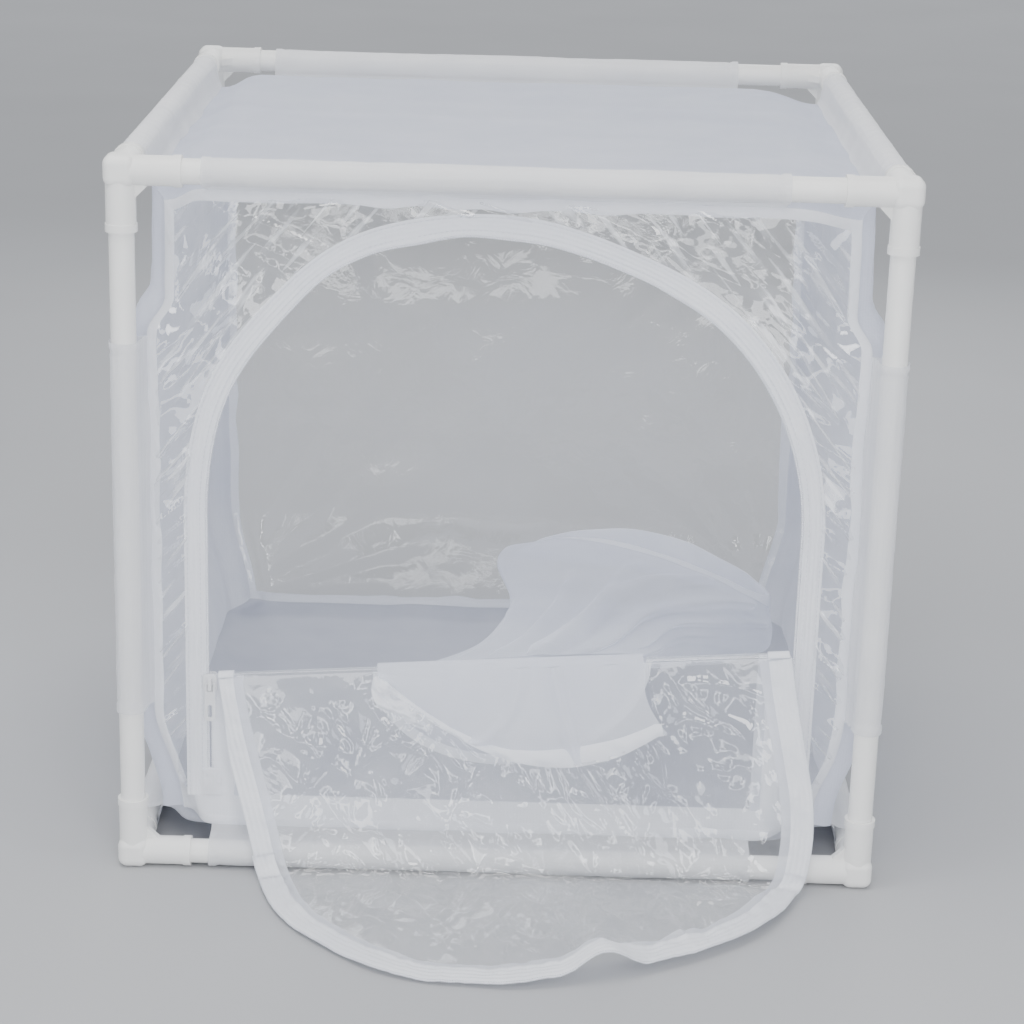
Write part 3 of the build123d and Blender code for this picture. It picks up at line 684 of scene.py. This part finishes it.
def tunnel(node, seed):
    """A cloth tunnel round a pipe, closed by a tail of doubled cloth that ends at the tent's edge."""
    kind, first, second = node.split("_")[1:]
    axis = AXES[kind]
    low, high = HELD[axis]
    t = np.arange(low, high + 0.0005, 0.0022)
    others = [a for a in range(3) if a != axis]
    pipe = np.array([sum(span(f"{PIPES[kind]}_{first}_{second}", a)) / 2 for a in others])
    toward = edge_points(axis, [SIDES[second], SIDES[first]], t)[:, others] - pipe
    distance = np.linalg.norm(toward, axis=1)
    forward = toward / distance[:, None]
    sideways = np.stack([-forward[:, 1], forward[:, 0]], -1)
    from_end = np.minimum(t - low, high - t)
    hem = smoothstep(-from_end, -HEM - 0.0006, -HEM + 0.0006)
    radius = TUNNEL_R + 0.0006 * hem - 0.0008 * np.exp(-((from_end - HEM - 0.0008) / 0.0009) ** 2)
    leave = np.arccos(np.clip(radius / distance, 0, 1))
    halves = []
    for side in (1, -1):
        half = []
        touch_f, touch_s = radius * np.cos(leave), side * radius * np.sin(leave)
        for share in TAIL_STEPS:
            pleat = 0.0011 * noise(share * 9 + side * 3, t * 9, seed) * math.sin(math.pi * share) ** 0.7
            half.append((distance * share + touch_f * (1 - share),
                         touch_s * (1 - share) ** 1.7 + side * 0.0004 + pleat))
        for step in range(ROUND_STEPS):
            angle = leave + (math.pi - leave) * step / ROUND_STEPS
            wrinkle = 0.0004 * noise(angle * 4 * side + 9, t * 22, seed + 1)
            r = radius + wrinkle + 0.0002 * noise(t * 160, angle, seed + 2)
            half.append((r * np.cos(angle), side * r * np.sin(angle)))
        halves.append(half)
    ring = halves[0] + [(-radius - 0.0001, np.zeros(len(t)))] + halves[1][::-1]
    points = np.zeros((len(t), len(ring), 3))
    points[..., axis] = t[:, None]
    for k, (f, s) in enumerate(ring):
        points[:, k, others] = pipe + f[:, None] * forward + s[:, None] * sideways
    declare(grid_piece("cloth_" + node, points, TUNNEL), "frame", node)


for number, node in enumerate(sorted(name for name in nodes if name.startswith("tunnel_"))):
    tunnel(node, 110 + 7 * number)

# ---- the door's fold and its bend on the floor

FOLD, BEND = joints["door_fold"], joints["door_floor_bend"]
FOLDED, BENT = math.radians(FOLD["range_deg"][1]), math.radians(BEND["range_deg"][1])
FILLET = 0.012
DOOR_LEAN = 0.010
LEAN_FULL, LEAN_TIP = 0.145, 0.281  # distances from the fold line
LAP = 0.0045  # how far the leaning side lies behind the frame's tape when the door is closed
GROUND_GAP = 0.0006  # the least height of the folded door above the floor


def turned(points, joint, angle):
    """Points turned about a joint's axis, as it stands at rest."""
    axis = np.array(joint["axis"]) / np.linalg.norm(joint["axis"])
    rel = np.asarray(points, float) - np.array(joint["pos_m"])
    c, s = np.asarray(np.cos(angle))[..., None], np.asarray(np.sin(angle))[..., None]
    along = (rel @ axis)[..., None] * axis * (1 - c)
    return (rel * c + np.cross(axis, rel) * s + along) + np.array(joint["pos_m"])


# Where the floor bend lies on the closed door
bend_start = np.array(BEND["pos_m"])
closed_bend = turned([bend_start, bend_start + np.array(BEND["axis"])], FOLD, FOLDED)
closed_axis = closed_bend[1] - closed_bend[0]


def fold_z(x):
    return FOLD["pos_m"][2] + np.asarray(x) * FOLD["axis"][2] / FOLD["axis"][0]


def bend_z(x):
    return closed_bend[0][2] + (np.asarray(x) - closed_bend[0][0]) * closed_axis[2] / closed_axis[0]


def lean(x, z):
    """How far the hung film sags to the right of where the stiff fold alone would put it."""
    s = z - fold_z(x)
    grown = smoothstep(s, 0, LEAN_FULL)
    return DOOR_LEAN * grown * (1 - 0.35 * x / CHAIN) * (1 - 0.43 * smoothstep(s, LEAN_FULL, LEAN_TIP))


def on_flap(x, z, h):
    """Where a point of the closed door, h in front of it, is once the door is folded down."""
    x, z, h = (np.asarray(a, float) for a in np.broadcast_arrays(x, z, h))
    sagged = lean(x, z)
    h = h - LAP * smoothstep(sagged, 0.0002, 0.0025) * smoothstep(x, -0.06, 0)
    x = x + sagged

    def near(height):
        return turned(on_frame(x, height, h), FOLD, -FOLDED)

    def far(height):
        return turned(near(height), BEND, -BENT)

    line = bend_z(x)
    t = np.clip((z - line + FILLET) / (2 * FILLET), 0, 1)[..., None]
    corner = (near(line) + far(line)) / 2
    rounded = (1 - t) ** 2 * near(line - FILLET) + 2 * t * (1 - t) * corner + t ** 2 * far(line + FILLET)
    place = np.where(t <= 0, near(z), np.where(t >= 1, far(z), rounded))
    place[..., 2] = np.maximum(place[..., 2], GROUND_GAP)
    return place


def flap_creases(x, z):
    """Creases of the thin film: hanging folds, a fan from the sleeve, fine crinkles, a buckle at the tip."""
    s = z - fold_z(x)
    fan_angle, fan_r = np.arctan2(x - 0.015, s + 0.02), np.hypot(x - 0.015, s + 0.02)
    fan = streaks(fan_angle * 0.09, fan_r * 0.5, 90, 0.010, 0.035, 131)
    folds = noise(x / 0.026 + 0.7 * noise(s / 0.07, 1.5, 133), s / 0.13, 132)
    pleats = noise(x / 0.011 + 0.6 * noise(s / 0.05, 3.5, 137), s / 0.07, 138)
    fine = streaks(x, z, 62, 0.008, 0.025, 134) + streaks(x, z, 118, 0.009, 0.022, 135)
    crumple = noise(x / 0.0065, z / 0.012, 136)
    laid = smoothstep(z - bend_z(x), -0.012, 0.02)
    hung = 0.0050 * folds + 0.0013 * pleats - 0.0024 * fan - 0.0012 * fine + 0.0003 * crumple
    lying = 0.0060 * np.abs(folds) + 0.0020 * np.abs(pleats)
    lying = lying + 0.0025 * fan + 0.0012 * fine + 0.0003 * crumple
    from_edge = CHAIN - np.where(z < ARCH_Z, np.abs(x), np.hypot(x, z - ARCH_Z))
    held = (0.22 + 0.78 * smoothstep(from_edge, 0.012, 0.045)) * smoothstep(s, 0.001, 0.022)
    tip = np.exp(-((x - 0.028) / 0.017) ** 2) * smoothstep(z, ARCH_Z + 0.135, ARCH_Z + 0.178)
    return (hung * (1 - laid) - laid * lying) * held - 0.014 * tip


# ---- the door's film

# The port that the sleeve is sewn round: a shallow bow on the flap, a half ellipse on the sill
PORT = (-0.080, 0.095)
PORT_WIDE = PORT[1] - PORT[0]
PORT_LOW_X = 0.030
PORT_DEPTH = 0.064
SILL_PORT_DEPTH = 0.066
FILM_EDGE = TAPE_INNER + 0.002
STRIP_INNER = TAPE_INNER - 0.006
side_line = DoorLine(0.003)


def port_depth(x):
    """How far the port reaches above the closed door's fold line."""
    x = np.asarray(x, float)
    wide = np.where(x < PORT_LOW_X, 0.112, 0.120)
    depth = PORT_DEPTH * (1 - ((x - PORT_LOW_X) / wide) ** 2)
    return np.where((x > PORT[0]) & (x < PORT[1]), depth.clip(0), 0)


def sill_port_depth(x):
    """How far it reaches below the fold line."""
    middle, half = sum(PORT) / 2, PORT_WIDE / 2
    return SILL_PORT_DEPTH * np.sqrt((1 - ((np.asarray(x, float) - middle) / half) ** 2).clip(0))


def side_edges(z):
    """The film's left and right edge at a height of the closed door, below the arch's top."""
    x, height = side_line.at(FILM_EDGE)
    half = len(x) // 2
    return np.interp(z, height[:half], x[:half]), np.interp(z, height[half:][::-1], x[half:][::-1])


def film_between(low, high, place, height, name, look):
    """Film from the line low(x) up to high(x) across the whole door."""
    across, up = np.linspace(-1, 1, 236)[:, None], np.linspace(0, 1, 92)[None, :]
    middle_low = (low(-FILM_EDGE) + low(FILM_EDGE)) / 2
    middle_high = (high(-FILM_EDGE) + high(FILM_EDGE)) / 2
    left, right = side_edges(middle_low * (1 - up) + middle_high * up)
    x = left + (right - left) * (across + 1) / 2
    z = low(x) + (high(x) - low(x)) * up
    return grid_piece(name, place(x, z, height(x, z)), look)


near_film = film_between(lambda x: fold_z(x) + port_depth(x), lambda x: bend_z(x) - FILLET,
                         on_flap, flap_creases, "flap_clear_near", FLAP_FILM)
declare(near_film, "flap_near", "flap_film_near")

bend_film = film_between(lambda x: bend_z(x) - FILLET, lambda x: bend_z(x) + FILLET,
                         on_flap, flap_creases, "flap_clear_bend", FLAP_FILM)
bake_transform(bend_film)
declare(bend_film, None, None)

# The far film fans out from the floor bend to the arch
arc_x, arc_z = DoorLine(0.0018).at(FILM_EDGE)
beyond = arc_z > bend_z(arc_x) + FILLET
arc_x, arc_z = arc_x[beyond], arc_z[beyond]
base_x = np.linspace(arc_x[0], arc_x[-1], len(arc_x))
out = np.linspace(0, 1, 90)[None, :]
far_x = base_x[:, None] * (1 - out) + arc_x[:, None] * out
far_z = (bend_z(base_x) + FILLET)[:, None] * (1 - out) + arc_z[:, None] * out
far_film = grid_piece("flap_clear_far", on_flap(far_x, far_z, flap_creases(far_x, far_z)), FLAP_FILM)
declare(far_film, "flap_far", "flap_film_far")

sill_film = film_between(lambda x: SILL_Z + 0 * x, lambda x: fold_z(x) - sill_port_depth(x), on_frame,
                         lambda x, z: 0.0012 * noise(x / 0.03, z / 0.03, 141), "sill_clear", SILL_FILM)
declare(sill_film, "frame", "sill_film")

# ---- the door's half of the zip

NOTCH_X, NOTCH_LOW, NOTCH_TOP = -0.1838, 0.145, 0.194
SILL_TEETH, FLAP_TEETH = (0.00145, 0.0011), (0.0010, 0.0011)


def flap_rise(line, radius):
    return flap_creases(*line.at(radius))


def flap_tape_height(line, radius):
    """The flap's tape: ribbed and puckered by its stitching."""
    across = max(0.0, (FLAP_COIL - radius) / (FLAP_COIL - TAPE_INNER))
    pucker = 0.0009 * noise(line.along / 0.009, across * 1.4, 151)
    pucker = pucker + 0.0004 * noise(line.along / 0.004, across * 3, 152)
    ribs = 0.0002 * math.cos(across * 2 * math.pi * 4)
    return flap_rise(line, radius) - 0.0012 + (pucker - 0.0012) * across ** 0.7 + ribs


def strip_height(line, radius):
    return flap_rise(line, radius) - 0.0007 + 0.0005 * noise(line.along / 0.008, radius / 0.004, 153)


def sill_height_at(line, radius):
    return 0.0008 + 0.0003 * noise(line.along / 0.01, radius / 0.004, 154)


def parts_of(line):
    """Which stations of a door line belong to the sill, the hung part, the floor bend and the far part."""
    x, z = line.at(FLAP_COIL)
    above = z - fold_z(x)
    past = z - bend_z(x + lean(x, z))
    left = np.arange(len(x)) < len(x) // 2
    step = 1.2 * (line.along[1] - line.along[0])
    found = {}
    for side, here in (("left", left), ("right", ~left)):
        found[f"sill_{side}"] = here & (above <= step)
        found[f"near_{side}"] = here & (above >= 0) & (past <= -FILLET + step)
        found[f"bend_{side}"] = here & (past >= -FILLET - step) & (past <= FILLET + step)
    found["far"] = past >= FILLET - step
    return found


def beside_slider(x, z, h):
    """As on_flap, with the tape's left edge cut back where the slider stands when the door is closed."""
    limit = NOTCH_X - 0.004 * smoothstep(z, NOTCH_LOW, NOTCH_TOP)
    return on_flap(np.maximum(x, limit), z, h)


tape_parts, teeth_parts = parts_of(tape_line), parts_of(tooth_line)
coil_x, coil_z = tooth_line.at(FLAP_COIL)
teeth_parts["near_left"] &= coil_z > NOTCH_TOP
teeth_parts["sill_right"] &= coil_z < fold_z(coil_x) - 0.0008
# The body, the nodes that the tape and the teeth replace, and how the tape is held
ZIP_PARTS = {
    "sill": ("frame", "sill_tapes", "sill_coils", "hung"),
    "near": ("flap_near", "flap_tapes_near", "flap_coils_near", "hung"),
    "bend": (None, None, None, "hung"),
    "far": ("flap_far", "flap_tape_far", "flap_coil_far", "laid"),
}
for part, keep in tape_parts.items():
    kind = part.split("_")[0]
    on_sill = kind == "sill"
    body, tape_node, teeth_node, held = ZIP_PARTS[kind]
    place = on_frame if on_sill else beside_slider if part == "near_left" else on_flap
    tape = band(f"flap_zip_tape_{part}", tape_line, np.linspace(TAPE_INNER, FLAP_COIL + 0.0002, 28),
                sill_height_at if on_sill else flap_tape_height, place, TAPE, keep)
    strip = band(f"flap_strip_{part}", tape_line, np.linspace(STRIP_INNER, TAPE_INNER + 0.001, 7),
                 sill_height_at if on_sill else strip_height, place, SHEER_DENSE, keep)
    pieces = [tape, strip]
    if teeth_parts[part].any():
        teeth = beads(f"flap_teeth_{part}", tooth_line, FLAP_COIL, 0.0 if on_sill else flap_rise,
                      SILL_TEETH if on_sill else FLAP_TEETH, TOOTH_PITCH, TOOTH_WAIST, place,
                      teeth_parts[part])
        pieces.append(teeth)
        if teeth_node:
            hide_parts(teeth_node)
    for piece in pieces:
        if body:
            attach(piece, body)
        else:
            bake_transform(piece)
    declare(tape, None, tape_node)
    declare(strip, None, None)


def over_the_fold(name, low_x, high_x, height, look):
    """The short curve of cloth or film that turns over the fold line."""
    columns = np.linspace(low_x, high_x, max(3, int((high_x - low_x) / 0.002)))
    flat_points = on_frame(columns, fold_z(columns), height)
    points = np.stack([turned(flat_points, FOLD, -FOLDED * share) for share in np.linspace(0, 1, 15)], 1)
    piece = grid_piece(name, points, look)
    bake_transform(piece)
    declare(piece, None, None)


over_the_fold("fold_film_left", -FILM_EDGE, PORT[0], 0.0, FLAP_FILM)
over_the_fold("fold_film_right", PORT[1], FILM_EDGE, 0.0, FLAP_FILM)
over_the_fold("fold_tape_left", -0.184, -TAPE_INNER, -0.0009, TAPE)
over_the_fold("fold_tape_right", TAPE_INNER, FLAP_COIL - 0.0008, -0.0009, TAPE)

# ---- the port's mesh and hems


def fold_line(x, s, start, end, wide):
    """A soft crease that runs from x = start at s = 0 to x = end at s = 1."""
    return np.exp(-((x - start - (end - start) * s) / wide) ** 2)


# The mesh over the port on the flap: a bow with one straight side, in front of the film
bow_w, bow_s = crossed(np.linspace(0, 1, 190), np.linspace(0, 1, 70))
bow_x = PORT[0] + (PORT_WIDE - 0.0005) * bow_w
bow_z = fold_z(bow_x) + bow_s * (port_depth(bow_x) + 0.001)
bow_x = bow_x + bow_w ** 8 * (0.007 * bow_s ** 2 - 0.004 * np.sin(math.pi * bow_s))
soft_folds = noise(bow_x / 0.016 + 0.6 * noise(bow_z / 0.03, 0.5, 162), bow_z / 0.05, 161)
bow_rise = 0.0024 + 0.0030 * np.sin(math.pi * bow_s) + 0.0016 * soft_folds * smoothstep(bow_s, 0, 0.15)
bow_rise += 0.0042 * fold_line(bow_x, bow_s, 0.034, 0.040, 0.0042)
bow_rise += 0.0036 * fold_line(bow_x, bow_s ** 1.7, 0.013, -0.026, 0.0045)
bow_rise += 0.0025 * fold_line(bow_x, bow_s, 0.070, 0.062, 0.0050) * (1 - bow_s)
bow = grid_piece("port_mesh_flap", on_flap(bow_x, bow_z, -bow_rise), SHEER_DENSE)
declare(bow, "flap_near", None)

hem_x, hem_s = crossed(np.linspace(PORT[0] + 0.004, PORT[1] + 0.004, 150), np.linspace(0, 1, 12))
hem_wide = 0.0045 + 0.0085 * np.exp(-((hem_x - 0.045) / 0.055) ** 2)
hem_base = port_depth(np.clip(hem_x, PORT[0] + 0.0001, PORT[1] - 0.0001))
hem_z = fold_z(hem_x) + np.maximum(hem_base + 0.0025 - hem_s * hem_wide, 0.002)
hem_rise = 0.0034 + 0.0012 * np.sin(math.pi * hem_s) + 0.0007 * noise(hem_x / 0.009, hem_s * 2, 163)
hem_rise += 0.0008 * (1 - hem_s)
hem = grid_piece("port_hem_flap", on_flap(hem_x, hem_z, -hem_rise), RING_BAND)
declare(hem, "flap_near", "sleeve_ring_flap")

# Its bunched end at the left
end_t, end_w = crossed(np.linspace(0, 1, 60), np.linspace(0, 1, 26))
end_x = PORT[0] + 0.004 - 0.006 * end_w + 0.028 * end_t ** 1.2 - 0.012 * end_w * np.sin(math.pi * end_t)
end_z = fold_z(end_x) + 0.002 + 0.033 * end_t + 0.006 * end_w * end_t
end_rise = 0.005 + 0.0035 * noise(end_t * 4.5, end_w * 3.0, 165) + 0.0020 * noise(end_t * 11, end_w * 6, 166)
end_rise = end_rise * smoothstep(end_t, -0.2, 0.2) * (1 - 0.6 * smoothstep(end_t, 0.8, 1))
bunch = grid_piece("port_hem_bunched", on_flap(end_x, end_z, -np.maximum(end_rise, 0.0012)), RING_BAND)
declare(bunch, "flap_near", None)

over_the_fold("fold_sleeve_mesh", PORT[0], PORT[1] - 0.002, -0.0024, SHEER_DENSE)

# The mesh over the port inside the sill, and its hem
sill_x, sill_s = crossed(np.linspace(PORT[0] + 0.001, PORT[1] - 0.001, 100), np.linspace(0.02, 1, 40))
sill_z = fold_z(sill_x) - sill_s * sill_port_depth(sill_x)
sill_rise = 0.0024 + 0.008 * np.sin(math.pi * sill_s) * smoothstep(sill_port_depth(sill_x), 0, 0.03)
sill_mesh = grid_piece("port_mesh_sill", on_frame(sill_x, sill_z, -sill_rise), SHEER_DENSE)
declare(sill_mesh, "frame", None)

RING_HALF, RING_LENGTH = 0.0035, 0.262
ring_t, ring_w = crossed(np.linspace(math.pi, 2 * math.pi, 120), np.linspace(-RING_HALF, RING_HALF, 8))
ring_x = sum(PORT) / 2 + (PORT_WIDE / 2 + ring_w) * np.cos(ring_t)
ring_z = fold_z(ring_x) - 0.001 + (SILL_PORT_DEPTH + ring_w) * np.sin(ring_t)
ring_rise = 0.0009 + 0.0009 * np.cos(ring_w / RING_HALF * math.pi / 2)
ring_band = grid_piece("port_hem_sill", on_frame(ring_x, ring_z, ring_rise), RING_BAND)
declare(ring_band, "frame", "sleeve_ring_sill")

# ---- the sleeve's tube

# Each ring is the place of its left, right, near and far side, from the port to the mouth, in mm
TUBE = (
    ((-48, -206, 139), (94, -206, 150), (30, -206, 148), (30, -206, 141)),
    ((-14, -185, 146), (104, -185, 145), (46, -185, 151), (53, -185, 136)),
    ((4, -130, 143), (122, -130, 134), (57, -130, 148), (68, -130, 112)),
    ((7, -70, 133), (155, -70, 113), (65, -70, 145), (98, -70, 94)),
    ((1, 0, 125), (182, -10, 96), (69, -25, 145), (139, 0, 72)),
    ((3, 42, 122), (197, 30, 86), (78, 10, 146), (138, 72, 66)),
    ((10, 64, 127), (200, 62, 96), (89, 36, 143), (112, 100, 131)),
)
# Its long folds: angle in half turns where each starts and ends, where along the tube, width and depth
FOLDS = (
    (0.53, 0.28, 0.0, 0.97, 0.032, 0.0100),
    (0.65, 0.57, 0.0, 0.62, 0.030, 0.0080),
    (0.76, 0.83, 0.0, 0.45, 0.040, 0.0055),
    (0.40, 0.14, 0.0, 0.95, 0.032, 0.0110),
    (0.46, 0.42, 0.25, 0.85, 0.022, 0.0055),
    (0.22, 0.02, 0.1, 0.90, 0.035, 0.0070),
    (-0.30, -0.45, 0.2, 0.9, 0.050, 0.0080),
    (-0.65, -0.60, 0.2, 0.9, 0.050, 0.0080),
)
CUFF_START = 0.93
ANGLES = np.linspace(0, 2 * math.pi, 250, endpoint=False)


def through(keys, t):
    """A smooth curve through evenly spaced keys, at t from 0 to 1."""
    place = np.asarray(t, float) * (len(keys) - 1)
    i = np.clip(place.astype(int), 0, len(keys) - 2)
    f = place - i
    slope = np.gradient(keys)
    start = keys[i] * (2 * f ** 3 - 3 * f ** 2 + 1) + slope[i] * (f ** 3 - 2 * f ** 2 + f)
    return start + keys[i + 1] * (3 * f ** 2 - 2 * f ** 3) + slope[i + 1] * (f ** 3 - f ** 2)


def tube_at(t, angle, out=0.0):
    """A point of the sleeve's tube, t from 0 at the port to 1 at its mouth, out from its cloth."""
    keys = np.array(TUBE) / 1000
    left, right, near, far = (np.stack([through(keys[:, k, a], t) for a in range(3)], -1) for k in range(4))
    c, s = np.cos(angle)[..., None], np.sin(angle)[..., None]
    middle = c ** 2 * (left + right) / 2 + s ** 2 * (near + far) / 2
    arm = c * (right - left) / 2 + s * (near - far) / 2
    outward = arm / np.maximum(np.linalg.norm(arm, axis=-1, keepdims=True), 1e-6)
    half_turns = np.where(angle > math.pi, angle / math.pi - 2, angle / math.pi)
    soft = noise(np.cos(angle) * 2.4, np.sin(angle) * 2.4 + t * 3.5, 172)
    rise = 0.0045 * smoothstep(t, 0.08, 0.4) * soft
    rise = rise + 0.0018 * smoothstep(t, 0.02, 0.2) * noise(angle * 4.0 + 2.0 * t, t * 3.0, 173)
    for start, end, low, high, wide, depth in FOLDS:
        path = start + (end - start) * smoothstep(t, low, high)
        reach = smoothstep(t, low - 0.02, low + 0.06) * (1 - smoothstep(t, high - 0.15, high))
        rise = rise + depth * reach * np.exp(-((half_turns - path) / wide) ** 2)
    points = middle + arm + outward * (rise + out)[..., None]
    rim = smoothstep(t, 0.75, 1.0)
    points[..., 2] += 0.004 * rim * noise(angle * 1.6, 0.5, 174)
    points[..., 1] += 0.005 * rim * noise(angle * 1.3, 3.5, 175)
    points[..., 2] = np.maximum(points[..., 2], TENT_Z[0] + 0.0035)
    return points


tube = grid_piece("sleeve_tube", tube_at(*crossed(np.linspace(0, 1, 150), ANGLES)), SHEER, closed=True)
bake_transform(tube)
declare(tube, None, "access_sleeve")

cuff_t, cuff_angle = crossed(np.linspace(CUFF_START, 1.0, 10), ANGLES)
cuff_out = 0.0006 + 0.0008 * np.sin(math.pi * (cuff_t - CUFF_START) / (1 - CUFF_START))
cuff = grid_piece("sleeve_cuff", tube_at(cuff_t, cuff_angle, cuff_out), RING_BAND, closed=True)
declare(cuff, "sleeve", "sleeve_hem")

# ---- materials of the CAD's own nodes

for name, node in nodes.items():
    if name.startswith("fitting_"):
        look = FITTING
    elif name.startswith(("width_rail_", "depth_rail_", "post_")):
        look = PIPE
    elif name in ("zip_slider", "zip_pull"):
        look = METAL
    elif name.startswith("flap_film") or name == "sill_film":
        look = FLAP_FILM
    elif name == "access_sleeve":
        look = SHEER
    elif name.startswith("sleeve_"):
        look = RING_BAND
    else:
        look = TAPE
    for material_slot in node.material_slots:
        material_slot.material = look
